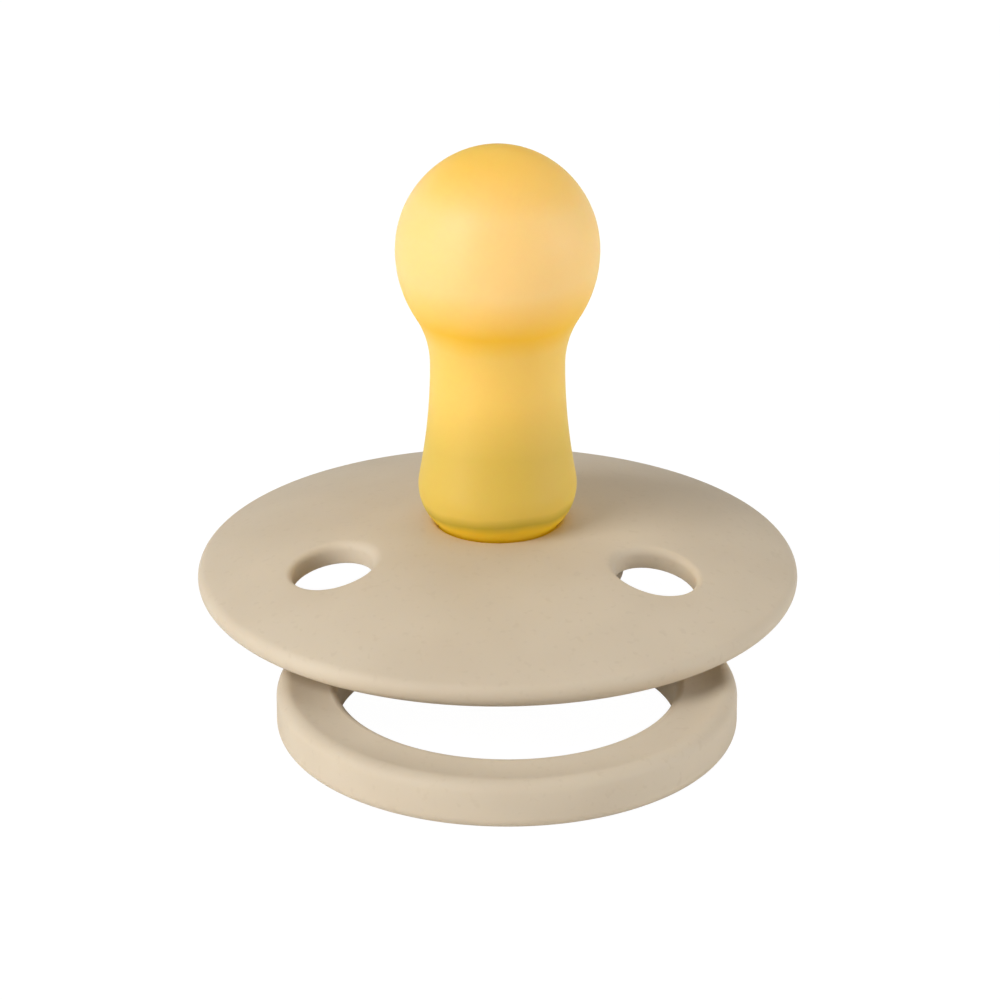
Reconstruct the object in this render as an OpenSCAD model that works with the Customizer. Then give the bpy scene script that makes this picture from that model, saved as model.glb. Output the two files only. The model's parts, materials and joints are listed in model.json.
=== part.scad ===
// Round-shield baby soother: latex teat, domed shield, inner plug, rear knob
// and a ring handle that turns on a bar held in the knob.
// Millimetres, +Z up along the teat. The origin is the middle of the knob's flat
// foot. The ring handle lies towards -Y.

/* [Shield] */
// Diameter of the round shield
shield_d = 43; // [40:0.5:52]
// Thickness of the domed shield
shield_t = 1.55; // [1.2:0.05:1.8]
// How much thicker the round rim is than the shield
rim_bead = 0.3; // [0.1:0.05:0.5]
// Height of the dome's top above the middle of the rim
dome_h = 4.325; // [3.5:0.025:5.5]
// Radius of the flat middle that the dome falls away from
dome_flat_r = 4; // [2:0.5:6]
// Diameter of the middle hole that the teat's throat passes through
hole_d = 8.6; // [7.2:0.1:10.4]
// Radius of the soft edge round the middle hole
hole_edge_r = 0.6; // [0.4:0.05:0.8]
// Thickness of the shield beside the middle hole, down to the flat seat
core_t = 2.2; // [1.8:0.1:2.8]
// How far the shield is turned on the teat's throat, in degrees
shield_turn = -5; // [-30:1:30]

/* [Vents] */
// Number of vent holes, evenly spaced
vent_count = 3; // [2:1:4]
// Diameter of one vent hole
vent_d = 5.8; // [5:0.1:7]
// Width of the shield left between a vent hole and the shield's edge
vent_margin = 5.45; // [4.3:0.05:6.3]
// Radius of the soft edge at the mouth of each vent hole
vent_edge_r = 0.6; // [0.2:0.05:0.7]

/* [Teat] */
// Radius of the bulb at its widest
bulb_r = 7.3; // [6.1:0.1:8.7]
// Height of the bulb's widest point above the neck's narrowest
bulb_rise = 8.65; // [7.2:0.05:10.4]
// How much larger the radius of the arc above the widest point is than the bulb's
bulb_top_more = 0.33; // [0.1:0.01:0.6]
// How much larger the radius of the arc that the bulb falls away on is
bulb_fall_more = 1.8; // [1.2:0.05:2.2]
// How far the neck's narrowest point is in from the base's widest
neck_waist = 0.86; // [0.7:0.01:1.05]
// Height of the neck's narrowest point above the shield's face
neck_rise = 11.8; // [9.8:0.1:14.2]
// How far the base swells out past the middle hole's edge
base_lap = 1.43; // [1.2:0.01:1.7]
// Radius of the base's round swelling
base_round_r = 3.7; // [3.1:0.05:4.4]
// Wall of the latex
teat_wall = 0.9; // [0.7:0.05:1.1]
// How far the flange that is clamped behind the shield stops short of the plug's
teat_flange_gap = 0.5; // [0.3:0.1:0.9]

/* [Plug and knob] */
// Thickness of the plug's flange
plug_flange_t = 1.3; // [1:0.1:1.6]
// Radius of the plug's flange
plug_flange_r = 7.9; // [7.6:0.1:9.5]
// Radius of the plug's boss that the knob snaps on
boss_r = 4.1; // [3.5:0.1:4.9]
// Diameter of the air bore through the plug
air_d = 1.6; // [1.2:0.1:2]
// Height of the snap bead round the boss
snap_h = 0.25; // [0.15:0.05:0.35]
// Outer radius of the knob
knob_r = 7.5; // [6.2:0.1:9]
// Height of the knob's round top above its two flat cheeks
knob_cap = 1.33; // [1.1:0.01:1.6]
// Wall between each flat cheek and the well for the plug's boss
cheek_wall = 0.85; // [0.7:0.05:1.1]
// Wall between the ring's bar and the knob's foot
knob_floor = 1; // [0.8:0.1:1.2]
// Radius of the knob's round bottom edge
knob_edge_r = 1.6; // [0.6:0.1:2]
// Wall of the locating collar on the back of the shield
collar_w = 1.1; // [0.8:0.1:1.4]

/* [Ring handle] */
// Outer radius of the ring
ring_r = 16.1; // [13.4:0.05:19.3]
// Width of the ring's band
ring_w = 4.3; // [3.6:0.05:5.2]
// Height of the ring's band
ring_h = 3.5; // [3:0.05:4.2]
// Radius of the band's outer edges
ring_edge_r = 0.9; // [0.5:0.05:1.1]
// Radius of the band's inner edges
ring_inner_edge_r = 0.55; // [0.3:0.05:0.8]
// Slope of the shallow dish in the band's two faces, in degrees
dish_slope = 12; // [4:1:16]
// Radius of the bar that the ring turns on
bar_r = 1.2; // [1:0.05:1.45]

/* [Fits] */
// Gap between pieces that are pressed or clamped together
fit_gap = 0.05; // [0.02:0.01:0.08]
// Running clearance round the ring's bar, on the radius
bar_clear = 0.05; // [0.03:0.01:0.08]
// Gap between the ring's shoulders and the knob
side_gap = 0.3; // [0.25:0.05:0.45]

/* [Hidden] */
$fn = 96;
latex = [0.93, 0.75, 0.36];
shell = [0.81, 0.75, 0.66];

// The ring and its sweep round the bar, which the knob's cheeks leave room for
bar_z = knob_floor + bar_clear + bar_r;
bore_r = bar_r + bar_clear;
cheek_x = boss_r + fit_gap + cheek_wall;
shoulder_x = cheek_x + side_gap;
pivot_r = ring_r - ring_w / 2;
heel_y = sqrt(pow(ring_r, 2) - pow(shoulder_x, 2)) - pivot_r;
heel_sweep = norm([heel_y - ring_edge_r, ring_h / 2 - ring_edge_r]) + ring_edge_r;
cheek_z = bar_z + heel_sweep + side_gap;
reach = pivot_r + ring_r - ring_edge_r;
lift = ring_h / 2 - ring_edge_r;
ring_tilt = asin((bar_z - ring_edge_r) / norm([reach, lift])) - atan(lift / reach);

// Heights above the ring, from the knob upwards
knob_h = cheek_z + knob_cap;
flange_z = knob_h + fit_gap;
teat_flange_z = flange_z + plug_flange_t;
seat_z = teat_flange_z + teat_wall;
face_z = seat_z + core_t;
rim_z = face_z - dome_h;

// The shield's shell: an arc that falls from the flat middle to the round rim
rim_r = (shield_t + rim_bead) / 2;
rim_c = shield_d / 2 - rim_r;
dome_run = rim_c - dome_flat_r;
dome_r = (pow(dome_run, 2) + pow(dome_h, 2) - pow(rim_r, 2)) / (2 * (dome_h - rim_r));
dome_z = face_z - dome_r;
rim_a = acos(dome_run / (dome_r - rim_r));
hole_r = hole_d / 2;
vent_r = vent_d / 2;
vent_circle_r = shield_d / 2 - vent_margin - vent_r;
collar_r = plug_flange_r + fit_gap + collar_w;
collar_z = flange_z + plug_flange_t / 4;

// The teat's outline: circles that run into each other
neck_z = face_z + neck_rise;
bulb_z = neck_z + bulb_rise;
bulb_top_r = bulb_r + bulb_top_more;
bulb_fall_r = bulb_r + bulb_fall_more;
base_r = hole_r + base_lap;
neck_r = base_r - neck_waist;
base_x = base_r - base_round_r;
throat_r = hole_r - fit_gap;
throat_in_r = throat_r - teat_wall;
teat_flange_r = plug_flange_r - teat_flange_gap;
foot_a = meet_a(base_round_r, throat_r);
base_z = face_z - hole_edge_r / 2 + base_round_r * sin(foot_a);
top_x = bulb_r - bulb_top_r;
fall_x = bulb_r - bulb_fall_r;
under_r = blend_r(bulb_z - neck_z, bulb_r - neck_r, bulb_fall_r);
under_a = asin((bulb_z - neck_z) / (bulb_fall_r + under_r));
flare_r = blend_r(neck_z - base_z, base_r - neck_r, base_round_r);
flare_a = asin((neck_z - base_z) / (base_round_r + flare_r));

// The plug follows the inside of the teat's base
head_r = base_round_r - teat_wall - fit_gap;
spigot_r = throat_in_r - fit_gap;
boss_z = bar_z + 0.2;
snap_z = (bar_z + bar_r + knob_h) / 2;

// Radius of the hollow arc that joins a round swelling to the narrowest point of
// the neck: rise apart in height, swell apart in radius
function blend_r(rise, swell, round_r) =
    (pow(rise, 2) + pow(swell, 2)) / (2 * swell) - round_r;

// Points along an arc about [x, z], from angle a0 to angle a1
function arc(x, z, r, a0, a1, n) =
    [for (i = [0:n]) let (a = a0 + (a1 - a0) * i / n) [x + r * cos(a), z + r * sin(a)]];

// One side of the teat's wall, set inwards by w, from the top down to the base
function teat_side(w) = concat(
    arc(top_x, bulb_z, bulb_top_r - w, acos(-top_x / (bulb_top_r - w)), 0, 24),
    arc(fall_x, bulb_z, bulb_fall_r - w, 0, -under_a, 10),
    arc(neck_r + under_r, neck_z, under_r + w, 180 - under_a, 180, 12),
    arc(neck_r + flare_r, neck_z, flare_r + w, 180, 180 + flare_a, 6));

// The inner angle at which an arc of radius r about base_x meets radius x
function meet_a(r, x) = acos((x - base_x) / r);

// The same list from its last point to its first
function back(list) = [for (i = [len(list) - 1:-1:0]) list[i]];

module teat() {
    inner_a = meet_a(base_round_r - teat_wall, throat_in_r);
    outside = concat(
        teat_side(0),
        arc(base_x, base_z, base_round_r, flare_a, -foot_a, 16),
        [[throat_r, seat_z - fit_gap], [teat_flange_r, seat_z - fit_gap],
         [teat_flange_r, teat_flange_z]]);
    inside = concat(
        teat_side(teat_wall),
        arc(base_x, base_z, base_round_r - teat_wall, flare_a, -inner_a, 16),
        [[throat_in_r, teat_flange_z]]);
    color(latex) rotate_extrude() polygon(concat(outside, back(inside)));
}

// The domed shell with its round rim, as an outline for turning. The underside
// runs into the rim where its arc meets the rim's circle.
module shell_outline() {
    rim_from_arc = dome_r - rim_r;
    inner_r = dome_r - shield_t;
    lip_a = acos((pow(rim_from_arc, 2) + pow(rim_r, 2) - pow(inner_r, 2))
        / (2 * rim_from_arc * rim_r));
    end_a = asin(rim_r * sin(lip_a) / inner_r);
    polygon(concat(
        [[0, face_z]],
        arc(dome_flat_r, dome_z, dome_r, 90, rim_a, 20),
        arc(rim_c, rim_z, rim_r, rim_a, rim_a - 180 + lip_a, 12),
        arc(dome_flat_r, dome_z, inner_r, rim_a - end_a, 90, 20),
        [[0, face_z - shield_t]]));
}

// A ring-shaped soft mouth for a hole of radius r, cut from z = 0 downwards
module soft_mouth(r, edge) {
    rotate_extrude()
        polygon(concat(
            [[0, -edge], [r, -edge]],
            arc(r + edge, -edge, edge, 180, 90, 6),
            [[r + edge, edge], [0, edge]]));
}

// A round hole through the dome with a soft mouth square to the dome's face
module vent_cut() {
    slope = asin((vent_circle_r - dome_flat_r) / dome_r);
    mouth_z = dome_z + dome_r * cos(slope);
    translate([vent_circle_r, 0, collar_z - 1])
        cylinder(r = vent_r, h = face_z - collar_z + 2);
    translate([vent_circle_r, 0, mouth_z])
        rotate([0, slope, 0])
            soft_mouth(vent_r, vent_edge_r);
}

module shield() {
    color(shell) rotate([0, 0, shield_turn]) difference() {
        union() {
            rotate_extrude() shell_outline();
            translate([0, 0, collar_z])
                cylinder(r = collar_r, h = face_z - shield_t - collar_z);
        }
        translate([0, 0, collar_z - 1])
            cylinder(r = plug_flange_r + fit_gap, h = seat_z - collar_z + 1);
        translate([0, 0, seat_z - 1]) cylinder(r = hole_r, h = core_t + 2);
        translate([0, 0, face_z]) soft_mouth(hole_r, hole_edge_r);
        for (i = [0:vent_count - 1])
            rotate([0, 0, 90 + i * 360 / vent_count]) vent_cut();
    }
}

// The bar's running bore, along X
module bar_bore(half) {
    translate([-half, 0, bar_z]) rotate([0, 90, 0]) cylinder(r = bore_r, h = 2 * half);
}

module plug() {
    head_a = meet_a(head_r, spigot_r);
    wing_x = cheek_x - fit_gap;
    wing_y = bore_r - fit_gap;
    color(shell) difference() {
        union() {
            rotate_extrude()
                polygon(concat(
                    [[0, boss_z], [boss_r, boss_z]],
                    arc(boss_r, snap_z, snap_h, -90, 90, 8),
                    [[boss_r, flange_z], [plug_flange_r, flange_z],
                     [plug_flange_r, teat_flange_z - fit_gap],
                     [spigot_r, teat_flange_z - fit_gap]],
                    arc(base_x, base_z, head_r, -head_a, 90, 18),
                    [[0, base_z + head_r]]));
            translate([-wing_x, -wing_y, bar_z + bore_r / 2])
                cube([2 * wing_x, 2 * wing_y, knob_h - bar_z - bore_r / 2 + 2 * fit_gap]);
        }
        bar_bore(cheek_x + 1);
        translate([0, 0, bar_z]) cylinder(d = air_d, h = base_z + head_r);
    }
}

module knob() {
    well_r = boss_r + fit_gap;
    well_z = bar_z - 0.2;
    cheek_y = 2 * knob_r;
    color(shell) difference() {
        rotate_extrude()
            polygon(concat(
                [[0, 0]],
                arc(knob_r - knob_edge_r, knob_edge_r, knob_edge_r, -90, 0, 10),
                [[knob_r, knob_h], [0, knob_h]]));
        rotate_extrude()
            polygon(concat(
                [[0, well_z], [well_r, well_z]],
                arc(well_r, snap_z, snap_h + fit_gap, -90, 90, 8),
                [[well_r, knob_h + 1], [0, knob_h + 1]]));
        bar_bore(knob_r + 1);
        translate([-knob_r - 1, -bore_r, bar_z])
            cube([2 * knob_r + 2, 2 * bore_r, knob_h]);
        for (side = [-1, 1])
            translate([side * (cheek_x + knob_r) - knob_r, -cheek_y / 2, -1])
                cube([2 * knob_r, cheek_y, cheek_z + 1]);
    }
}

// The band's cross-section: round edges and a shallow dish in each face
module band_outline() {
    out_x = ring_r - ring_edge_r;
    out_z = ring_h / 2 - ring_edge_r;
    in_x = ring_r - ring_w + ring_inner_edge_r;
    in_z = ring_h / 2 - ring_inner_edge_r;
    dish_from = out_x - ring_edge_r * sin(dish_slope);
    dish_to = in_x + ring_inner_edge_r * sin(dish_slope);
    dish_r = (dish_from - dish_to) / (2 * sin(dish_slope));
    dish_x = (dish_from + dish_to) / 2;
    dish_z = out_z + ring_edge_r * cos(dish_slope) + dish_r * cos(dish_slope);
    face = concat(
        arc(out_x, out_z, ring_edge_r, 0, 90 + dish_slope, 10),
        arc(dish_x, dish_z, dish_r, dish_slope - 90 - 4, -dish_slope - 90 + 4, 6),
        arc(in_x, in_z, ring_inner_edge_r, 90 - dish_slope, 180, 8));
    polygon(concat(face, back([for (p = face) [p[0], -p[1]]])));
}

module ring_handle() {
    bar_x = shoulder_x + bar_clear;
    color(shell) translate([0, 0, bar_z]) rotate([ring_tilt, 0, 0]) union() {
        difference() {
            translate([0, -pivot_r, 0]) rotate_extrude() band_outline();
            translate([-shoulder_x, -ring_w - bar_r, -ring_h])
                cube([2 * shoulder_x, 2 * ring_w + bar_r, 2 * ring_h]);
        }
        translate([-bar_x, 0, 0]) rotate([0, 90, 0]) cylinder(r = bar_r, h = 2 * bar_x);
    }
}

teat();
shield();
plug();
knob();
ring_handle();
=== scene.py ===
"""Looks of a round-shield baby soother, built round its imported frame.

Each sub-assembly is a class that holds its sizes, turns its meshes and dresses
them. Sizes are in metres, in the frame's own axes.
"""

import json
import logging
from dataclasses import dataclass
from enum import Enum
from math import acos, asin, atan2, cos, hypot, pi, radians, sin, sqrt, tau
from typing import Iterable

import bmesh
import bpy
from bmesh.types import BMEdge, BMesh, BMFace, BMVert
from mathutils import Matrix, Vector

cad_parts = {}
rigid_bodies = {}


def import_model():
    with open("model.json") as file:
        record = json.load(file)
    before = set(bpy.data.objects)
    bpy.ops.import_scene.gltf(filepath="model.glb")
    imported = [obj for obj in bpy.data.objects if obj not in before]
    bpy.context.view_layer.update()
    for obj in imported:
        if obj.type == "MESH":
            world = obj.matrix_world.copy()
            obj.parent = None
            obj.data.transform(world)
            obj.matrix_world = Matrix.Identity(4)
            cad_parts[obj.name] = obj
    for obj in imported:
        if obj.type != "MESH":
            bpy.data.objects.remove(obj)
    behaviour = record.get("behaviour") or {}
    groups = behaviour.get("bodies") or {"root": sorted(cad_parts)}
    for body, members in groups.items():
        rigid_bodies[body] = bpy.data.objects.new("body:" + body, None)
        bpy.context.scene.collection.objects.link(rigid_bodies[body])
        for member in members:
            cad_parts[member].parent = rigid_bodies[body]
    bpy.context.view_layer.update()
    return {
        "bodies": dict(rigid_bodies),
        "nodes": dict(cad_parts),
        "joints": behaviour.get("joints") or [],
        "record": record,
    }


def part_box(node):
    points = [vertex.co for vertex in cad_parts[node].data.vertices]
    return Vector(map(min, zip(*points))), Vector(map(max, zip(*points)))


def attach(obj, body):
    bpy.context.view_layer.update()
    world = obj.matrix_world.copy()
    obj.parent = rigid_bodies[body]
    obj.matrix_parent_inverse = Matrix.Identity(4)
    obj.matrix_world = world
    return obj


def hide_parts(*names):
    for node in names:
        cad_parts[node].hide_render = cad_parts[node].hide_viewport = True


LOG = logging.getLogger("soother")
MM = 0.001
Colour = tuple[float, float, float]

# Places of a Mix node's colour sockets, whose names repeat
MIX_FACTOR, MIX_FIRST, MIX_SECOND, MIX_RESULT = 0, 6, 7, 2


class Body(Enum):
    """The rigid bodies of the frame."""

    MOUTHPIECE = "mouthpiece"
    RING = "ring"


class Slot(Enum):
    """The record's material slots."""

    LATEX = "natural_latex"
    SHELL = "matte_shell"


# --------------------------------------------------------------------------
# Mesh tools
# --------------------------------------------------------------------------


class Outline:
    """A chain of edges in the XZ plane, drawn point by point for turning."""

    def __init__(self, bm: BMesh, x: float, z: float) -> None:
        """Starts the chain.

        Args:
            bm: The mesh that the chain is drawn in.
            x: Distance of the first point from the axis.
            z: Height of the first point.
        """
        self.bm = bm
        self.first = bm.verts.new((x, 0, z))
        self.tip = self.first

    def line(self, x: float, z: float, steps: int = 1) -> "Outline":
        """Draws a straight run to a point.

        Args:
            x: Distance of the end point from the axis.
            z: Height of the end point.
            steps: Number of equal edges in the run.

        Returns:
            The outline, so that calls can follow each other.
        """
        start = self.tip.co.copy()
        for i in range(1, steps + 1):
            self.tip = self._grow()
            self.tip.co = start.lerp(Vector((x, 0, z)), i / steps)
        return self

    def arc(self, cx: float, cz: float, sweep: float, steps: int) -> "Outline":
        """Draws an arc from the tip about a centre.

        Args:
            cx: Distance of the centre from the axis.
            cz: Height of the centre.
            sweep: Angle in radians, positive from +X towards +Z.
            steps: Number of equal edges in the arc.

        Returns:
            The outline, so that calls can follow each other.
        """
        turn = Matrix.Rotation(-sweep / steps, 3, "Y")
        for _ in range(steps):
            self.tip = self._grow()
            bmesh.ops.rotate(self.bm, verts=[self.tip], cent=(cx, 0, cz), matrix=turn)
        return self

    def close(self) -> "Outline":
        """Joins the tip to the first point."""
        self.bm.edges.new((self.tip, self.first))
        return self

    def _grow(self) -> BMVert:
        """Returns a new vertex joined to the tip, at the tip's place."""
        return bmesh.ops.extrude_vert_indiv(self.bm, verts=[self.tip])["verts"][0]


def spin_full(bm: BMesh, steps: int) -> None:
    """Turns all of an outline once round the Z axis and tidies the poles.

    Args:
        bm: The mesh that holds the outline.
        steps: Number of segments round the turn.
    """
    bmesh.ops.spin(bm, geom=bm.verts[:] + bm.edges[:], cent=(0, 0, 0), axis=(0, 0, 1),
                   angle=tau, steps=steps, use_merge=True)
    bmesh.ops.remove_doubles(bm, verts=bm.verts, dist=1e-6)


def open_edges(faces: Iterable[BMFace]) -> list[BMEdge]:
    """Finds the edges round a patch of faces.

    Args:
        faces: The faces of the patch.

    Returns:
        The edges that only one of the faces uses.
    """
    count: dict[BMEdge, int] = {}
    for face in faces:
        for edge in face.edges:
            count[edge] = count.get(edge, 0) + 1
    return [edge for edge, uses in count.items() if uses == 1]


def to_mesh(name: str, bm: BMesh, sharp: float = 35.0) -> bpy.types.Object:
    """Makes a finished object from a bmesh.

    Args:
        name: Name of the object.
        bm: The mesh, which is freed.
        sharp: Angle in degrees past which an edge stays sharp.

    Returns:
        The new object, at the origin, with its place in its mesh.
    """
    bmesh.ops.recalc_face_normals(bm, faces=bm.faces)
    mesh = bpy.data.meshes.new(name)
    bm.to_mesh(mesh)
    bm.free()
    mesh.shade_smooth()
    mesh.set_sharp_from_angle(angle=radians(sharp))
    made = bpy.data.objects.new(name, mesh)
    bpy.context.scene.collection.objects.link(made)
    return made


def carve(piece: bpy.types.Object, cutters: list[BMesh], sharp: float = 35.0) -> None:
    """Cuts solids out of a finished piece.

    Args:
        piece: The piece, whose mesh is replaced by the cut one.
        cutters: Closed solids to take away, which are freed.
        sharp: Angle in degrees past which an edge of the cut piece stays sharp.
    """
    tools = []
    for i, bm in enumerate(cutters):
        tool = to_mesh(f"cutter_{i}", bm)
        tools.append(tool)
        cut = piece.modifiers.new(f"cut_{i}", "BOOLEAN")
        cut.operation = "DIFFERENCE"
        cut.solver = "EXACT"
        cut.object = tool
    graph = bpy.context.evaluated_depsgraph_get()
    result = bpy.data.meshes.new_from_object(piece.evaluated_get(graph))
    piece.modifiers.clear()
    piece.data = result
    for tool in tools:
        bpy.data.objects.remove(tool)
    result.shade_smooth()
    result.set_sharp_from_angle(angle=radians(sharp))


def absorb(bm: BMesh, other: BMesh) -> None:
    """Adds another bmesh's shape to a bmesh.

    Args:
        bm: The mesh that is added to.
        other: The mesh that is added, which is freed.
    """
    mesh = bpy.data.meshes.new("absorbed")
    other.to_mesh(mesh)
    other.free()
    bm.from_mesh(mesh)
    bpy.data.meshes.remove(mesh)


def block(low: tuple[float, float, float], high: tuple[float, float, float]) -> BMesh:
    """Makes a box-shaped solid.

    Args:
        low: Its lowest corner.
        high: Its highest corner.

    Returns:
        The box.
    """
    bm = bmesh.new()
    made = bmesh.ops.create_cube(bm, size=1)["verts"]
    low_v, high_v = Vector(low), Vector(high)
    bmesh.ops.scale(bm, verts=made, vec=high_v - low_v)
    bmesh.ops.translate(bm, verts=made, vec=(low_v + high_v) / 2)
    return bm


def rod(radius: float, half: float, z: float, segments: int = 48) -> BMesh:
    """Makes a round bar along X.

    Args:
        radius: Radius of the bar.
        half: Half its length.
        z: Height of its middle.
        segments: Number of flat sides.

    Returns:
        The bar.
    """
    bm = bmesh.new()
    made = bmesh.ops.create_cone(bm, cap_ends=True, segments=segments, radius1=radius,
                                 radius2=radius, depth=2 * half)["verts"]
    bmesh.ops.rotate(bm, verts=made, matrix=Matrix.Rotation(pi / 2, 3, "Y"))
    bmesh.ops.translate(bm, verts=made, vec=(0, 0, z))
    return bm


# --------------------------------------------------------------------------
# Materials
# --------------------------------------------------------------------------


class Graph:
    """A node tree with short calls for adding and joining nodes."""

    def __init__(self, tree: bpy.types.NodeTree) -> None:
        """Takes the tree to build in."""
        self.tree = tree

    def node(self, kind: str, inputs: dict | None = None, **settings: object) -> bpy.types.Node:
        """Adds a node.

        Args:
            kind: The node's type name.
            inputs: Values or output sockets for named inputs.
            settings: Properties of the node.

        Returns:
            The new node.
        """
        made = self.tree.nodes.new(kind)
        for key, value in settings.items():
            setattr(made, key, value)
        for key, value in (inputs or {}).items():
            if isinstance(value, bpy.types.NodeSocket):
                self.tree.links.new(value, made.inputs[key])
            else:
                made.inputs[key].default_value = value
        return made

    def noise(self, place: bpy.types.NodeSocket, scale: bpy.types.NodeSocket, detail: float,
              roughness: float) -> bpy.types.NodeSocket:
        """Adds a noise texture.

        Args:
            place: The socket that gives the place on the surface.
            scale: The socket that gives the noise's scale.
            detail: Number of finer layers.
            roughness: Strength of the finer layers.

        Returns:
            The noise's value output.
        """
        made = self.node("ShaderNodeTexNoise", {"Vector": place, "Scale": scale, "Detail": detail,
                                                "Roughness": roughness})
        return made.outputs["Fac"]

    def ramp(self, factor: bpy.types.NodeSocket,
             stops: list[tuple[float, Colour]]) -> bpy.types.NodeSocket:
        """Adds a colour ramp.

        Args:
            factor: The socket that the ramp reads.
            stops: Pairs of position and colour, in order.

        Returns:
            The ramp's colour output.
        """
        made = self.node("ShaderNodeValToRGB", {"Fac": factor})
        line = made.color_ramp.elements
        while len(line) < len(stops):
            line.new(0.5)
        for element, (place, colour) in zip(line, stops):
            element.position = place
            element.color = (*colour, 1)
        return made.outputs["Color"]


def surface_group() -> bpy.types.NodeTree:
    """Builds the shared effect for moulded and dipped surfaces.

    Returns:
        A node group: fine grain for bump, slow cloudiness and faint flecks, all
        as values that change over the surface.
    """
    group = bpy.data.node_groups.new("moulded_surface", "ShaderNodeTree")
    for name, kind in (("Vector", "NodeSocketVector"), ("Grain Scale", "NodeSocketFloat"),
                       ("Cloud Scale", "NodeSocketFloat"), ("Fleck Scale", "NodeSocketFloat")):
        group.interface.new_socket(name, in_out="INPUT", socket_type=kind)
    for name in ("Grain", "Cloud", "Fleck"):
        group.interface.new_socket(name, in_out="OUTPUT", socket_type="NodeSocketFloat")
    graph = Graph(group)
    source = graph.node("NodeGroupInput").outputs
    place = source["Vector"]
    grain = graph.noise(place, source["Grain Scale"], 3.0, 0.65)
    cloud = graph.noise(place, source["Cloud Scale"], 2.0, 0.5)
    cells = graph.noise(place, source["Fleck Scale"], 1.0, 0.4)
    fleck = graph.node("ShaderNodeMapRange", {"Value": cells, "From Min": 0.62, "From Max": 0.74,
                                              "To Min": 0.0, "To Max": 1.0}, clamp=True)
    graph.node("NodeGroupOutput", {"Grain": grain, "Cloud": cloud, "Fleck": fleck.outputs["Result"]})
    return group


def blank_finish(name: str) -> tuple[bpy.types.Material, Graph]:
    """Makes an empty node material.

    Args:
        name: Name of the material.

    Returns:
        The material and its empty graph.
    """
    made = bpy.data.materials.new(name)
    made.use_nodes = True
    made.node_tree.nodes.clear()
    return made, Graph(made.node_tree)


@dataclass(frozen=True)
class MatteShell:
    """Finely matted, warm beige moulded plastic.

    Attributes:
        name: Name of the material.
        light: Colour of the paler clouds.
        deep: Colour of the deeper clouds.
        fleck: Colour of the faint flecks of pigment.
        fleck_share: How much of its own colour a fleck shows.
        rough: Least and greatest roughness over the grain.
        grain: Height of the matt grain, in metres.
    """

    name: str = "matte_shell"
    light: Colour = (0.735, 0.625, 0.475)
    deep: Colour = (0.690, 0.580, 0.435)
    fleck: Colour = (0.60, 0.49, 0.35)
    fleck_share: float = 0.22
    rough: tuple[float, float] = (0.50, 0.66)
    grain: float = 0.012 * MM

    def build(self, effect: bpy.types.NodeTree) -> bpy.types.Material:
        """Makes the material.

        Args:
            effect: The shared surface group.

        Returns:
            The material.
        """
        made, graph = blank_finish(self.name)
        place = graph.node("ShaderNodeTexCoord").outputs["Object"]
        surface = graph.node("ShaderNodeGroup", {
            "Vector": place, "Grain Scale": 5200, "Cloud Scale": 95, "Fleck Scale": 1900},
            node_tree=effect)
        tone = graph.ramp(surface.outputs["Cloud"], [(0.35, self.deep), (0.65, self.light)])
        share = graph.node("ShaderNodeMath", {0: surface.outputs["Fleck"], 1: self.fleck_share},
                           operation="MULTIPLY")
        colour = graph.node("ShaderNodeMix", {
            MIX_FACTOR: share.outputs[0], MIX_FIRST: tone, MIX_SECOND: (*self.fleck, 1)},
            data_type="RGBA")
        rough = graph.node("ShaderNodeMapRange", {
            "Value": surface.outputs["Grain"], "To Min": self.rough[0], "To Max": self.rough[1]})
        bump = graph.node("ShaderNodeBump", {"Height": surface.outputs["Grain"], "Strength": 0.35,
                                             "Distance": self.grain})
        shader = graph.node("ShaderNodeBsdfPrincipled", {
            "Base Color": colour.outputs[MIX_RESULT], "Roughness": rough.outputs["Result"],
            "Normal": bump.outputs["Normal"], "Specular IOR Level": 0.42,
            "Subsurface Weight": 0.18, "Subsurface Radius": (1.0, 0.75, 0.45),
            "Subsurface Scale": 0.9 * MM})
        graph.node("ShaderNodeOutputMaterial", {"Surface": shader.outputs["BSDF"]})
        return made


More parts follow.
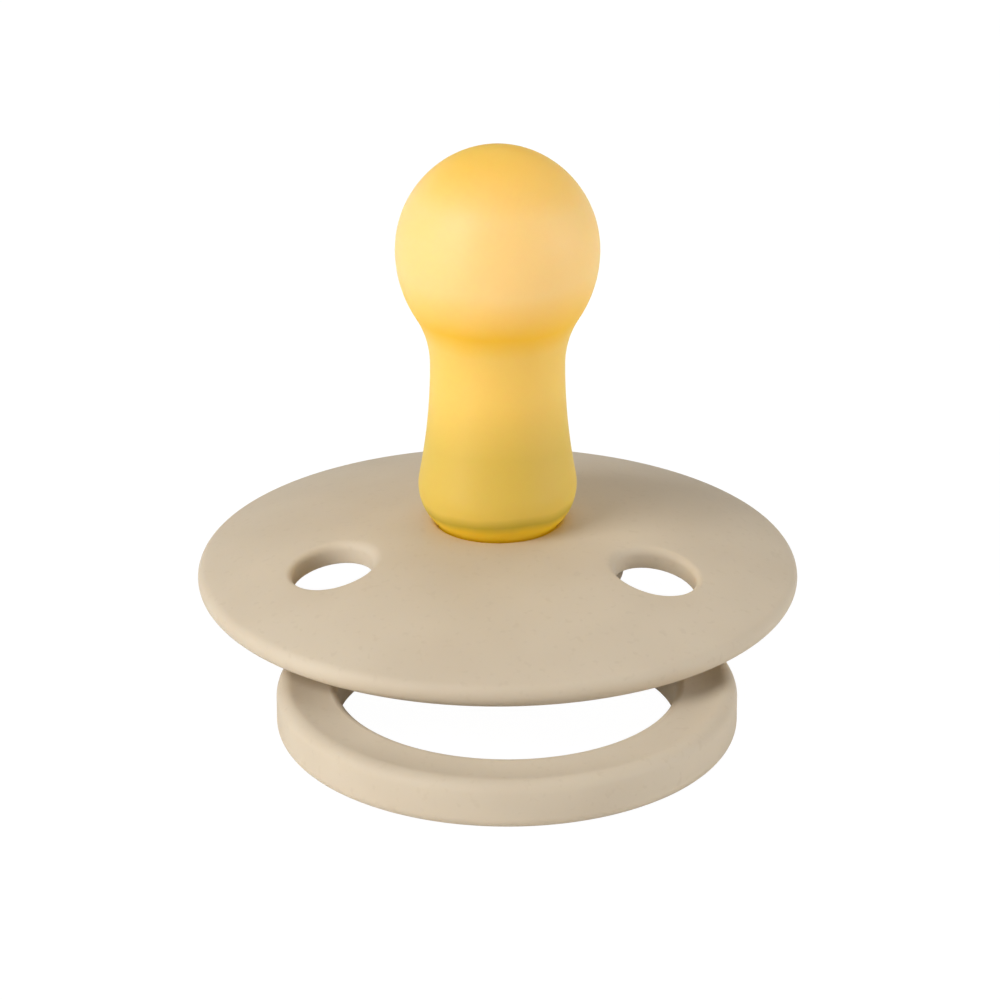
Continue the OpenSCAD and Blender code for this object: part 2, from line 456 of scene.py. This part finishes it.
@dataclass(frozen=True)
class NaturalLatex:
    """Dipped natural rubber: amber, translucent and softly matt, with painted shade in its colour ramp
    and a painted glow.

    Attributes:
        name: Name of the material.
        foot: Colour of the skin that is pressed on the shield.
        line: Colour of the painted shade in the fine crease just above the foot.
        base: Colour at the thick base.
        neck: Colour at the neck.
        band: Colour of the painted shade under the bulb, where it runs into the neck.
        bulb: Colour at the bulb.
        top: Deeper colour at the tip, painted for the richer edge where light crosses more of the
            wall.
        rough: Least and greatest roughness over the clouds.
        grain: Height of the fine grain, in metres.
        glow: Strength of the painted glow, an emission that stands in for light passed through the
            latex.
        low: Height of the shield's face, where the base starts.
        high: Height of the bulb's tip.
    """

    name: str = "natural_latex"
    foot: Colour = (0.76, 0.48, 0.010)
    line: Colour = (0.50, 0.35, 0.020)
    base: Colour = (0.72, 0.505, 0.078)
    neck: Colour = (0.88, 0.61, 0.125)
    band: Colour = (0.91, 0.56, 0.030)
    bulb: Colour = (0.98, 0.67, 0.250)
    top: Colour = (0.90, 0.59, 0.090)
    rough: tuple[float, float] = (0.44, 0.56)
    grain: float = 0.012 * MM
    glow: float = 0.16
    low: float = 0.010
    high: float = 0.038

    def build(self, effect: bpy.types.NodeTree) -> bpy.types.Material:
        """Makes the material.

        Args:
            effect: The shared surface group.

        Returns:
            The material.
        """
        made, graph = blank_finish(self.name)
        place = graph.node("ShaderNodeTexCoord").outputs["Object"]
        surface = graph.node("ShaderNodeGroup", {
            "Vector": place, "Grain Scale": 2600, "Cloud Scale": 160, "Fleck Scale": 900},
            node_tree=effect)
        height = graph.node("ShaderNodeSeparateXYZ", {"Vector": place}).outputs["Z"]
        share = graph.node("ShaderNodeMapRange", {"Value": height, "From Min": self.low,
                                                  "From Max": self.high}).outputs["Result"]
        wander = graph.node("ShaderNodeMath", {0: surface.outputs["Cloud"], 1: 0.05, 2: -0.025},
                            operation="MULTIPLY_ADD").outputs[0]
        place_on = graph.node("ShaderNodeMath", {0: share, 1: wander}, operation="ADD").outputs[0]
        # The line stop is a painted dark line of shade in the crease just above the foot.
        colour = graph.ramp(place_on, [(0.025, self.foot), (0.047, self.line), (0.075, self.base),
                                       (0.22, self.base), (0.38, self.neck), (0.50, self.neck),
                                       # The band stop is painted shade under the bulb, where its
                                       # underside faces down.
                                       (0.565, self.band), (0.70, self.bulb), (0.88, self.bulb),
                                       # The top stop is painted: a deeper tone at the tip for the
                                       # richer edge where light crosses more latex.
                                       (0.99, self.top)])
        rough = graph.node("ShaderNodeMapRange", {
            "Value": surface.outputs["Cloud"], "To Min": self.rough[0], "To Max": self.rough[1]})
        bump = graph.node("ShaderNodeBump", {"Height": surface.outputs["Grain"], "Strength": 0.25,
                                             "Distance": self.grain})
        # The emission is a painted glow: the latex shines with its own colour, standing in for light
        # that passes through it.
        shader = graph.node("ShaderNodeBsdfPrincipled", {
            "Base Color": colour, "Roughness": rough.outputs["Result"],
            "Normal": bump.outputs["Normal"], "Specular IOR Level": 0.5,
            "Transmission Weight": 0.06, "IOR": 1.5,
            "Emission Color": colour, "Emission Strength": self.glow,
            "Subsurface Weight": 1.0, "Subsurface Radius": (1.0, 0.75, 0.45),
            "Subsurface Scale": 0.7 * MM})
        graph.node("ShaderNodeOutputMaterial", {"Surface": shader.outputs["BSDF"]})
        return made


def dress(piece: bpy.types.Object, finish: bpy.types.Material, body: Body, slot: Slot,
          *nodes: str) -> None:
    """Gives a piece its material and its place in the frame.

    Args:
        piece: The piece.
        finish: Its material.
        body: The body that it rides on.
        slot: The record's slot for its finish; not used.
        nodes: The frame's nodes that it stands for.
    """
    piece.data.materials.clear()
    piece.data.materials.append(finish)
    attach(piece, body.value)
    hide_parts(*nodes)
    LOG.info("%s: %d faces, rides on %s", piece.name, len(piece.data.polygons), body.value)


# --------------------------------------------------------------------------
# Sub-assemblies
# --------------------------------------------------------------------------


@dataclass(frozen=True)
class Levels:
    """Heights that every sub-assembly is set out from, read from the frame.

    Attributes:
        bar: Height of the ring's bar.
        knob_top: Height of the knob's top.
        flange: Height of the underside of the teat's flange.
        rim: Height of the middle of the shield's rim.
        face: Height of the shield's face at the teat.
        tip: Height of the teat's tip.
    """

    bar: float
    knob_top: float
    flange: float
    rim: float
    face: float
    tip: float


@dataclass
class Shield:
    """The round domed disc with its vents, middle hole and rear collar.

    Attributes:
        level: Heights that the shield is set out from.
        outer: Radius of the disc.
        thick: Thickness of the domed shell.
        bead: Radius of the round rim's section.
        rise: Height of the face above the middle of the rim.
        flat: Radius at which the dome's arc is level.
        hole: Radius of the middle hole.
        hole_edge: Radius of the hole's soft edge.
        core: Depth of the thick middle, from the face to the flange's seat.
        collar_out: Outer radius of the rear collar.
        collar_in: Inner radius of the rear collar.
        collar_z: Height of the collar's end.
        soft: Radius of the round edges on the collar and the seat.
        fillet: Size of the slope between the collar and the shell.
        turn: Angle that the shield stands off the ring's line.
        vents: Number of vents.
        vent_at: Radius of the circle that the vents stand on.
        vent: Radius of one vent.
        vent_edge: Size of a vent's soft front edge.
        vent_back_edge: Size of a vent's back edge.
        steps: Number of segments round the turn.
        window: Inner and outer radius of the patch that a vent opens through.
        half_window: Half the angle of that patch.
    """

    level: Levels
    outer: float
    thick: float = 1.55 * MM
    bead: float = 0.925 * MM
    rise: float = 4.325 * MM
    flat: float = 4.0 * MM
    hole: float = 4.3 * MM
    hole_edge: float = 0.6 * MM
    core: float = 2.2 * MM
    collar_out: float = 9.05 * MM
    collar_in: float = 7.95 * MM
    collar_z: float = 6.075 * MM
    soft: float = 0.3 * MM
    fillet: float = 0.5 * MM
    turn: float = radians(-5)
    vents: int = 3
    vent_at: float = 13.15 * MM
    vent: float = 2.9 * MM
    vent_edge: float = 0.6 * MM
    vent_back_edge: float = 0.1 * MM
    steps: int = 180
    window: tuple[float, float] = (9.35 * MM, 17.15 * MM)
    half_window: float = radians(18)

    def __post_init__(self) -> None:
        """Works out the dome's circle."""
        self.rim_c = self.outer - self.bead
        self.run = self.rim_c - self.flat
        spread = self.run ** 2 + self.rise ** 2 - self.bead ** 2
        self.radius = spread / (2 * (self.rise - self.bead))
        self.centre = self.level.face - self.radius

    def height(self, x: float, radius: float) -> float:
        """Returns the height of a shell of that radius at a distance from the axis."""
        return self.centre + sqrt(radius ** 2 - max(0.0, x - self.flat) ** 2)

    def lean(self, x: float, radius: float) -> float:
        """Returns the angle above X of the shell's radius line at that distance."""
        return acos((x - self.flat) / radius)

    def outline(self, bm: BMesh) -> None:
        """Draws the shell's section, with its soft hole, round rim and collar.

        Args:
            bm: The mesh to draw in.
        """
        z, top, under = self.level, self.radius, self.radius - self.thick
        edge = self.hole_edge
        lip_x = self.hole + edge
        lip_a = self.lean(lip_x, top - edge)
        lip_z = self.height(lip_x, top - edge)
        seat = z.face - self.core
        soft, fillet = self.soft, self.fillet
        pen = Outline(bm, self.hole, seat)
        pen.line(self.hole, lip_z, 3)
        pen.arc(lip_x, lip_z, lip_a - pi, 8)
        rim_start = self.rim_c + self.bead * cos(self.lean(self.rim_c, top - self.bead))
        stops = (self.window[0], self.window[1], rim_start)
        start = lip_a
        for stop, count in zip(stops, (7, 10, 6)):
            end = self.lean(stop, top)
            pen.arc(self.flat, self.centre, end - start, count)
            start = end
        rim_from = self.radius - self.bead
        lip = acos((rim_from ** 2 + self.bead ** 2 - under ** 2) / (2 * rim_from * self.bead))
        pen.arc(self.rim_c, z.rim, lip - pi, 18)
        start = atan2(pen.tip.co.z - self.centre, pen.tip.co.x - self.flat)
        for stop, count in ((self.window[1], 6), (self.window[0] + fillet, 10)):
            end = self.lean(stop, under)
            pen.arc(self.flat, self.centre, end - start, count)
            start = end
        pen.line(self.collar_out, pen.tip.co.z - fillet, 3)
        pen.line(self.collar_out, self.collar_z + soft, 3)
        pen.arc(self.collar_out - soft, self.collar_z + soft, -pi / 2, 5)
        pen.line(self.collar_in + soft, self.collar_z)
        pen.arc(self.collar_in + soft, self.collar_z + soft, -pi / 2, 5)
        pen.line(self.collar_in, seat, 3)
        pen.line(self.hole + soft, seat, 3)
        pen.close()

    def window_faces(self, bm: BMesh, centre: float, above: bool) -> list[BMFace]:
        """Finds the faces that a vent opens through.

        Args:
            bm: The turned shell.
            centre: Angle of the vent's middle.
            above: Whether the face side or the back is wanted.

        Returns:
            The faces of that side inside the vent's window.
        """
        low, high = self.window
        low += 0 if above else self.fillet
        found = []
        for face in bm.faces:
            at = face.calc_center_median()
            away = (atan2(at.y, at.x) - centre + pi) % tau - pi
            far = hypot(at.x, at.y)
            middle = self.height(far, self.radius - self.thick / 2)
            if low < far < high and abs(away) < self.half_window and (at.z > middle) == above:
                found.append(face)
        return found

    def open_vent(self, bm: BMesh, centre: float) -> list[list[BMEdge]]:
        """Opens one vent through both sides and lines it.

        Args:
            bm: The turned shell.
            centre: Angle of the vent's middle.

        Returns:
            The edges round the vent's front mouth, and those round its back one.
        """
        loops = []
        for above in (True, False):
            faces = self.window_faces(bm, centre, above)
            frame = open_edges(faces)
            bmesh.ops.delete(bm, geom=faces, context="FACES")
            ring = bmesh.ops.create_circle(bm, segments=len(frame), radius=self.vent)["verts"]
            away = Vector((self.vent_at * cos(centre), self.vent_at * sin(centre), 0))
            bmesh.ops.translate(bm, verts=ring, vec=away)
            shell = self.radius if above else self.radius - self.thick
            for vert in ring:
                vert.co.z = self.height(hypot(vert.co.x, vert.co.y), shell)
            rounds = list({edge for vert in ring for edge in vert.link_edges})
            bmesh.ops.bridge_loops(bm, edges=frame + rounds)
            loops.append(rounds)
        bmesh.ops.bridge_loops(bm, edges=loops[0] + loops[1])
        return loops

    def build(self) -> bpy.types.Object:
        """Builds the shield.

        Returns:
            The finished piece.
        """
        bm = bmesh.new()
        self.outline(bm)
        spin_full(bm, self.steps)
        fronts, backs = [], []
        for i in range(self.vents):
            front, rear = self.open_vent(bm, pi / 2 + i * tau / self.vents)
            fronts += front
            backs += rear
        bmesh.ops.recalc_face_normals(bm, faces=bm.faces)
        for edges, size, count in ((fronts, self.vent_edge, 6), (backs, self.vent_back_edge, 3)):
            bmesh.ops.bevel(bm, geom=[e for e in edges if e.is_valid], offset=size,
                            offset_type="OFFSET", segments=count, profile=0.5, affect="EDGES",
                            material=-1, loop_slide=True)
        bmesh.ops.rotate(bm, verts=bm.verts, matrix=Matrix.Rotation(self.turn, 3, "Z"))
        return to_mesh("shield_disc", bm)


@dataclass
class Teat:
    """The hollow latex teat with its base, throat and clamped flange.

    Attributes:
        level: Heights that the teat is set out from.
        bulb: Radius of the bulb.
        bulb_rise: Height of the bulb's widest point above the neck's narrowest.
        top_more: How much larger the arc above the widest point is than the bulb.
        fall_more: How much larger the arc below the widest point is.
        neck: Radius of the neck at its narrowest.
        neck_rise: Height of the neck's narrowest point above the face.
        base: Radius of the base at its widest.
        base_round: Radius of the base's arc.
        wall: Thickness of the latex.
        throat: Radius of the throat through the shield.
        flange: Radius of the clamped flange.
        sink: How far the base's skin dips below the face.
        gap: How far the flange's top stops short of the wall's thickness.
        soft: Radius of the flange's edges.
        steps: Number of segments round the turn.
    """

    level: Levels
    bulb: float = 7.3 * MM
    bulb_rise: float = 8.65 * MM
    top_more: float = 0.33 * MM
    fall_more: float = 1.8 * MM
    neck: float = 4.87 * MM
    neck_rise: float = 11.8 * MM
    base: float = 5.73 * MM
    base_round: float = 3.7 * MM
    wall: float = 0.9 * MM
    throat: float = 4.25 * MM
    flange: float = 7.4 * MM
    sink: float = 0.3 * MM
    gap: float = 0.05 * MM
    soft: float = 0.2 * MM
    steps: int = 160

    def side(self, pen: Outline, inset: float, down: bool) -> None:
        """Draws one side of the wall between the tip and the throat.

        Args:
            pen: The outline, at the wall's end at the tip or at the throat.
            inset: How far the side is inside the outer skin.
            down: Whether it runs from the tip down or from the throat up.
        """
        neck_z = self.level.face + self.neck_rise
        bulb_z = neck_z + self.bulb_rise
        top, fall = self.bulb + self.top_more, self.bulb + self.fall_more
        base_x = self.base - self.base_round
        throat = self.throat - (self.wall if inset else 0)
        skin_foot = acos((self.throat - base_x) / self.base_round)
        foot = acos((throat - base_x) / (self.base_round - inset))
        base_z = self.level.face - self.sink + self.base_round * sin(skin_foot)
        under = self.blend(self.bulb_rise, self.bulb - self.neck, fall)
        under_a = asin(self.bulb_rise / (fall + under))
        flare = self.blend(neck_z - base_z, self.base - self.neck, self.base_round)
        flare_a = asin((neck_z - base_z) / (self.base_round + flare))
        top_a = acos(self.top_more / (top - inset))
        arcs = [
            (self.bulb - top, bulb_z, -top_a, 40),
            (self.bulb - fall, bulb_z, -under_a, 18),
            (self.neck + under, neck_z, under_a, 20),
            (self.neck + flare, neck_z, flare_a, 10),
            (base_x, base_z, -(flare_a + foot), 26),
        ]
        if not down:
            arcs = [(x, z, -sweep, count) for x, z, sweep, count in reversed(arcs)]
            pen.line(throat, base_z - (self.base_round - inset) * sin(foot), 6)
        for x, z, sweep, count in arcs:
            pen.arc(x, z, sweep, count)

    @staticmethod
    def blend(rise: float, swell: float, round_r: float) -> float:
        """Returns the radius of the hollow arc between a swelling and the neck."""
        return (rise ** 2 + swell ** 2) / (2 * swell) - round_r

    def build(self) -> bpy.types.Object:
        """Builds the teat as one closed wall.

        Returns:
            The finished piece.
        """
        seat, soft = self.level.flange + self.wall - self.gap, self.soft
        bm = bmesh.new()
        pen = Outline(bm, 0, self.level.tip)
        self.side(pen, 0, True)
        pen.line(self.throat, seat + soft, 6)
        pen.line(self.throat + soft, seat)
        pen.line(self.flange - soft, seat, 2)
        pen.arc(self.flange - soft, seat - soft, -pi / 2, 4)
        pen.line(self.flange, self.level.flange + soft)
        pen.arc(self.flange - soft, self.level.flange + soft, -pi / 2, 4)
        pen.line(self.throat - self.wall, self.level.flange, 3)
        self.side(pen, self.wall, False)
        pen.tip.co.x = 0
        spin_full(bm, self.steps)
        return to_mesh("teat_latex", bm, 60)


@dataclass
class Retainer:
    """The plug inside the teat's base and the knob that snaps on it.

    Attributes:
        level: Heights that the two are set out from.
        knob_r: Radius of the knob.
        plug_top: Height of the plug's top.
        edge: Radius of the knob's round foot edge.
        well: Radius of the knob's well for the plug's boss.
        well_drop: How far the well's floor is below the bar.
        boss: Radius of the plug's boss.
        bore: Radius of the bore that the ring's bar turns in.
        cheek_x: Half the width between the knob's two flat cheeks.
        cheek_z: Height of the cheeks' upper ends.
        flange: Radius of the plug's flange.
        flange_t: Thickness of the plug's flange.
        spigot: Radius of the stub inside the teat's base.
        head: Radius of the stub's round end.
        head_x: Distance of the round end's centre from the axis.
        air: Radius of the air bore.
        gap: Clearance between pieces that fit together.
        knob_soft: Radius of the knob's upper edges.
        plug_soft: Radius of the plug's edges.
        cut_soft: Width of the soft edges where the knob is cut.
        steps: Number of segments round the turn.
    """

    level: Levels
    knob_r: float
    plug_top: float
    edge: float = 1.6 * MM
    well: float = 4.15 * MM
    well_drop: float = 0.2 * MM
    boss: float = 4.1 * MM
    bore: float = 1.25 * MM
    cheek_x: float = 5.0 * MM
    cheek_z: float = 4.37 * MM
    flange: float = 7.9 * MM
    flange_t: float = 1.3 * MM
    spigot: float = 3.3 * MM
    head: float = 2.75 * MM
    head_x: float = 2.03 * MM
    air: float = 0.8 * MM
    gap: float = 0.05 * MM
    knob_soft: float = 0.35 * MM
    plug_soft: float = 0.2 * MM
    cut_soft: float = 0.12 * MM
    steps: int = 128

    def knob(self) -> bpy.types.Object:
        """Builds the knob with its cheeks, its slot and the bar's bore.

        Returns:
            The finished piece.
        """
        z, soft, far = self.level, self.knob_soft, 2 * self.knob_r
        well_z = z.bar - self.well_drop
        bm = bmesh.new()
        pen = Outline(bm, 0, 0)
        pen.line(self.knob_r - self.edge, 0, 4)
        pen.arc(self.knob_r - self.edge, self.edge, pi / 2, 16)
        pen.line(self.knob_r, z.knob_top - soft, 3)
        pen.arc(self.knob_r - soft, z.knob_top - soft, pi / 2, 6)
        pen.line(self.well + soft, z.knob_top)
        pen.arc(self.well + soft, z.knob_top - soft, pi / 2, 4)
        pen.line(self.well, well_z, 3)
        pen.line(0, well_z, 2)
        spin_full(bm, self.steps)
        made = to_mesh("knob_cover", bm)
        cutters = [rod(self.bore, far, z.bar),
                   block((-far, -self.bore, z.bar), (far, self.bore, 2 * z.knob_top))]
        for side in (-1, 1):
            ends = sorted((side * self.cheek_x, side * far))
            cutters.append(block((ends[0], -far, -self.edge), (ends[1], far, self.cheek_z)))
        carve(made, cutters)
        round_off = made.modifiers.new("soft_edges", "BEVEL")
        round_off.width = self.cut_soft
        round_off.segments = 2
        round_off.limit_method = "ANGLE"
        round_off.angle_limit = radians(40)
        return made

    def plug(self) -> bpy.types.Object:
        """Builds the plug with its flange, head, air bore and wings.

        Returns:
            The finished piece.
        """
        z, soft = self.level, self.plug_soft
        base_z = self.plug_top - self.head
        low, top = z.flange - self.flange_t, z.flange - self.gap
        foot = acos((self.spigot - self.head_x) / self.head)
        bm = bmesh.new()
        pen = Outline(bm, self.air, z.bar + self.bore)
        pen.line(self.boss, z.bar + self.bore, 2)
        pen.line(self.boss, low, 3)
        pen.line(self.flange - soft, low, 2)
        pen.arc(self.flange - soft, low + soft, pi / 2, 4)
        pen.line(self.flange, top - soft)
        pen.arc(self.flange - soft, top - soft, pi / 2, 4)
        pen.line(self.spigot, top, 2)
        pen.line(self.spigot, base_z - self.head * sin(foot), 4)
        pen.arc(self.head_x, base_z, foot + pi / 2, 20)
        pen.line(self.air + soft, self.plug_top, 2)
        pen.line(self.air, self.plug_top - soft)
        pen.close()
        spin_full(bm, self.steps)
        wing = (self.cheek_x - self.gap, self.bore - self.gap)
        rest = block((-wing[0], -wing[1], z.bar + self.bore + self.gap),
                     (wing[0], wing[1], low + soft))
        absorb(bm, rest)
        return to_mesh("plug_clamp", bm)


@dataclass
class RingHandle:
    """The ring and the bar that it turns on, moulded in one.

    Attributes:
        level: Heights that the ring is set out from.
        outer: Outer radius of the ring.
        width: Width of the band, from its outside to its inside.
        height: Height of the band.
        edge: Radius of the band's outer edges.
        inner_edge: Radius of the band's inner edges.
        dish: Slope of the shallow dish at its edges.
        bar: Radius of the bar.
        shoulder: Half the width between the ring's two ends.
        end_edge: Radius of the edges round the ring's two ends.
        bar_sink: How far the bar runs into each end.
        steps: Number of segments round the turn.
    """

    level: Levels
    outer: float
    width: float = 4.3 * MM
    height: float = 3.5 * MM
    edge: float = 0.9 * MM
    inner_edge: float = 0.55 * MM
    dish: float = radians(12)
    bar: float = 1.2 * MM
    shoulder: float = 5.3 * MM
    end_edge: float = 0.3 * MM
    bar_sink: float = 0.4 * MM
    steps: int = 224

    def tilt(self) -> float:
        """Works out how far the ring hangs down to rest on the floor.

        Returns:
            The angle in radians, downwards at the front.
        """
        reach = 2 * self.outer - self.width / 2 - self.edge
        lift = self.height / 2 - self.edge
        return asin((self.level.bar - self.edge) / hypot(reach, lift)) - atan2(lift, reach)

    def outline(self, bm: BMesh) -> None:
        """Draws the band's section: round edges and a shallow dish each side.

        Args:
            bm: The mesh to draw in.
        """
        out_x, out_z = self.outer - self.edge, self.height / 2 - self.edge
        in_x, in_z = self.outer - self.width + self.inner_edge, self.height / 2 - self.inner_edge
        start = out_x - self.edge * sin(self.dish)
        end = in_x + self.inner_edge * sin(self.dish)
        dish_r = (start - end) / (2 * sin(self.dish))
        dish_x = (start + end) / 2
        dish_z = out_z + (self.edge + dish_r) * cos(self.dish)
        round_a = pi / 2 + self.dish
        pen = Outline(bm, self.outer, -out_z)
        pen.line(self.outer, out_z, 3)
        pen.arc(out_x, out_z, round_a, 10)
        pen.arc(dish_x, dish_z, -2 * self.dish, 10)
        pen.line(in_x + self.inner_edge * sin(self.dish), in_z + self.inner_edge * cos(self.dish))
        pen.arc(in_x, in_z, round_a, 8)
        pen.line(self.outer - self.width, -in_z, 3)
        pen.arc(in_x, -in_z, round_a, 8)
        pen.line(start, -out_z - self.edge * cos(self.dish), 10)
        pen.arc(out_x, -out_z, round_a, 10)
        pen.close()

    def build(self) -> bpy.types.Object:
        """Builds the ring with its two shoulders and its bar.

        Returns:
            The finished piece.
        """
        bm = bmesh.new()
        self.outline(bm)
        spin_full(bm, self.steps)
        for side in (-1, 1):
            faces = [f for f in bm.faces
                     if f.calc_center_median().y > 0 and f.calc_center_median().x * side > 0]
            geom = list({*faces, *(e for f in faces for e in f.edges),
                         *(v for f in faces for v in f.verts)})
            bmesh.ops.bisect_plane(bm, geom=geom, dist=1e-7, plane_co=(side * self.shoulder, 0, 0),
                                   plane_no=(side, 0, 0), clear_inner=True)
        rims = [e for e in bm.edges if e.is_boundary]
        caps = bmesh.ops.edgenet_fill(bm, edges=rims)["faces"]
        bmesh.ops.recalc_face_normals(bm, faces=bm.faces)
        bmesh.ops.bevel(bm, geom=list({e for f in caps for e in f.edges}), offset=self.end_edge,
                        offset_type="OFFSET", segments=4, profile=0.5, affect="EDGES", material=-1)
        middle = self.outer - self.width / 2
        bmesh.ops.translate(bm, verts=bm.verts, vec=(0, -middle, 0))
        absorb(bm, rod(self.bar, self.shoulder + self.bar_sink, 0, 56))
        bmesh.ops.rotate(bm, verts=bm.verts, matrix=Matrix.Rotation(self.tilt(), 3, "X"))
        bmesh.ops.translate(bm, verts=bm.verts, vec=(0, 0, self.level.bar))
        return to_mesh("ring_band", bm)


# --------------------------------------------------------------------------
# Studio
# --------------------------------------------------------------------------


def bearing(azimuth: float, elevation: float) -> Vector:
    """Returns the direction from the object at two angles; azimuth 0 is in front."""
    return Vector((sin(azimuth) * cos(elevation), -cos(azimuth) * cos(elevation), sin(elevation)))


@dataclass(frozen=True)
class Softbox:
    """A square soft light that faces the object.

    Attributes:
        name: Name of the light.
        azimuth: Its angle round the object, in degrees; 0 is in front, 90 right.
        elevation: Its angle above the floor, in degrees.
        far: Its distance.
        size: Its side.
        power: Its power in watts.
    """

    name: str
    azimuth: float
    elevation: float
    far: float
    size: float
    power: float

    def build(self, aim: Vector) -> None:
        """Adds the light.

        Args:
            aim: The point that it faces.
        """
        back = bearing(radians(self.azimuth), radians(self.elevation))
        data = bpy.data.lights.new(self.name, "AREA")
        data.size = self.size
        data.energy = self.power
        made = bpy.data.objects.new(self.name, data)
        made.matrix_world = (Matrix.Translation(aim + back * self.far)
                             @ (-back).to_track_quat("-Z", "Y").to_matrix().to_4x4())
        bpy.context.scene.collection.objects.link(made)


@dataclass
class Studio:
    """Pale floor, soft lights and the camera.

    Attributes:
        aim: The point that the camera and the lights are set out from.
        azimuth: The camera's angle round the object.
        elevation: The camera's angle above the floor.
        distance: The camera's distance.
        lens: Its focal length, in millimetres.
        raise_aim: How far above the point it looks.
        side_aim: How far to the right of the point it looks.
        lamps: The soft lights.
        paper: Grey value of the floor.
        glow: Strength of the floor's own light, which only the camera sees.
        glow_share: How much of that light the camera sees.
        air: Colour of the light from all round.
        air_power: Strength of the light from all round.
    """

    aim: Vector
    azimuth: float = radians(-2.65)
    elevation: float = radians(23.96)
    distance: float = 0.45
    lens: float = 225.6
    raise_aim: float = 5.149 * MM
    side_aim: float = 0.172 * MM
    lamps: tuple[Softbox, ...] = (
        Softbox("key_softbox", azimuth=-57, elevation=38, far=0.9, size=0.42, power=4.1),
        Softbox("side_fill", azimuth=78, elevation=4, far=1.0, size=0.7, power=6.3),
        Softbox("low_fill", azimuth=-62, elevation=2, far=1.0, size=0.6, power=4.8),
        Softbox("top_softbox", azimuth=165, elevation=62, far=1.0, size=0.9, power=2.1))
    paper: float = 0.92
    glow: float = 1.06
    glow_share: float = 0.93
    air: Colour = (1, 0.985, 0.95)
    air_power: float = 0.22

    def camera(self) -> None:
        """Sets the camera at its angle to the shield."""
        back = bearing(self.azimuth, self.elevation)
        turn = (-back).to_track_quat("-Z", "Y")
        up, right = turn @ Vector((0, 1, 0)), turn @ Vector((1, 0, 0))
        spot = self.aim + back * self.distance
        target = self.aim + up * self.raise_aim + right * self.side_aim
        data = bpy.data.cameras.new("studio_camera")
        data.lens = self.lens
        data.sensor_width = 36
        data.clip_start = 0.01
        made = bpy.data.objects.new("studio_camera", data)
        look = (target - spot).to_track_quat("-Z", "Y").to_matrix().to_4x4()
        made.matrix_world = Matrix.Translation(spot) @ look
        bpy.context.scene.collection.objects.link(made)
        bpy.context.scene.camera = made

    def floor(self) -> None:
        """Lays a plain pale floor that the object stands on."""
        bm = bmesh.new()
        bmesh.ops.create_grid(bm, x_segments=1, y_segments=1, size=6)
        made = to_mesh("floor", bm)
        finish, graph = blank_finish("floor_white")
        paper = graph.node("ShaderNodeBsdfDiffuse", {"Color": (self.paper, self.paper, self.paper, 1)})
        glow = graph.node("ShaderNodeEmission", {"Color": (1, 1, 1, 1), "Strength": self.glow})
        seen = graph.node("ShaderNodeLightPath").outputs["Is Camera Ray"]
        share = graph.node("ShaderNodeMath", {0: seen, 1: self.glow_share}, operation="MULTIPLY")
        both = graph.node("ShaderNodeMixShader", {0: share.outputs[0], 1: paper.outputs[0],
                                                  2: glow.outputs[0]})
        graph.node("ShaderNodeOutputMaterial", {"Surface": both.outputs[0]})
        made.data.materials.append(finish)

    def build(self) -> None:
        """Sets up the whole studio."""
        self.camera()
        self.floor()
        for lamp in self.lamps:
            lamp.build(self.aim)
        world = bpy.data.worlds.new("studio_white")
        world.use_nodes = True
        light = world.node_tree.nodes["Background"].inputs
        light["Color"].default_value = (*self.air, 1)
        light["Strength"].default_value = self.air_power
        bpy.context.scene.world = world
        bpy.context.scene.view_settings.view_transform = "Standard"


def read_levels(frame: dict) -> Levels:
    """Reads the heights that the pieces are set out from.


    Returns:
        The heights, in metres.
    """
    joint = {row["name"]: row for row in frame["joints"]}["ring_swing"]
    shield_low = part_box("shield")[0].z
    rim = shield_low + Shield.bead
    return Levels(bar=joint["pos_m"][2], knob_top=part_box("knob")[1].z, flange=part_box("teat")[0].z,
                  rim=rim, face=rim + Shield.rise, tip=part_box("teat")[1].z)


def main() -> None:
    """Builds the soother's looks in order."""
    logging.basicConfig(level=logging.INFO, format="%(message)s")
    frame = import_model()
    level = read_levels(frame)
    effect = surface_group()
    shell = MatteShell().build(effect)
    latex = NaturalLatex(low=level.face, high=level.tip).build(effect)

    shield = Shield(level, outer=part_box("shield")[1].x)
    dress(shield.build(), shell, Body.MOUTHPIECE, Slot.SHELL, "shield")
    dress(Teat(level).build(), latex, Body.MOUTHPIECE, Slot.LATEX, "teat")
    retainer = Retainer(level, knob_r=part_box("knob")[1].y, plug_top=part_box("plug")[1].z)
    dress(retainer.plug(), shell, Body.MOUTHPIECE, Slot.SHELL, "plug")
    dress(retainer.knob(), shell, Body.MOUTHPIECE, Slot.SHELL, "knob")
    ring = RingHandle(level, outer=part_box("ring_handle")[1].x)
    dress(ring.build(), shell, Body.RING, Slot.SHELL, "ring_handle")

    Studio(aim=Vector((0, 0, level.rim))).build()


if __name__ == "__main__":
    main()
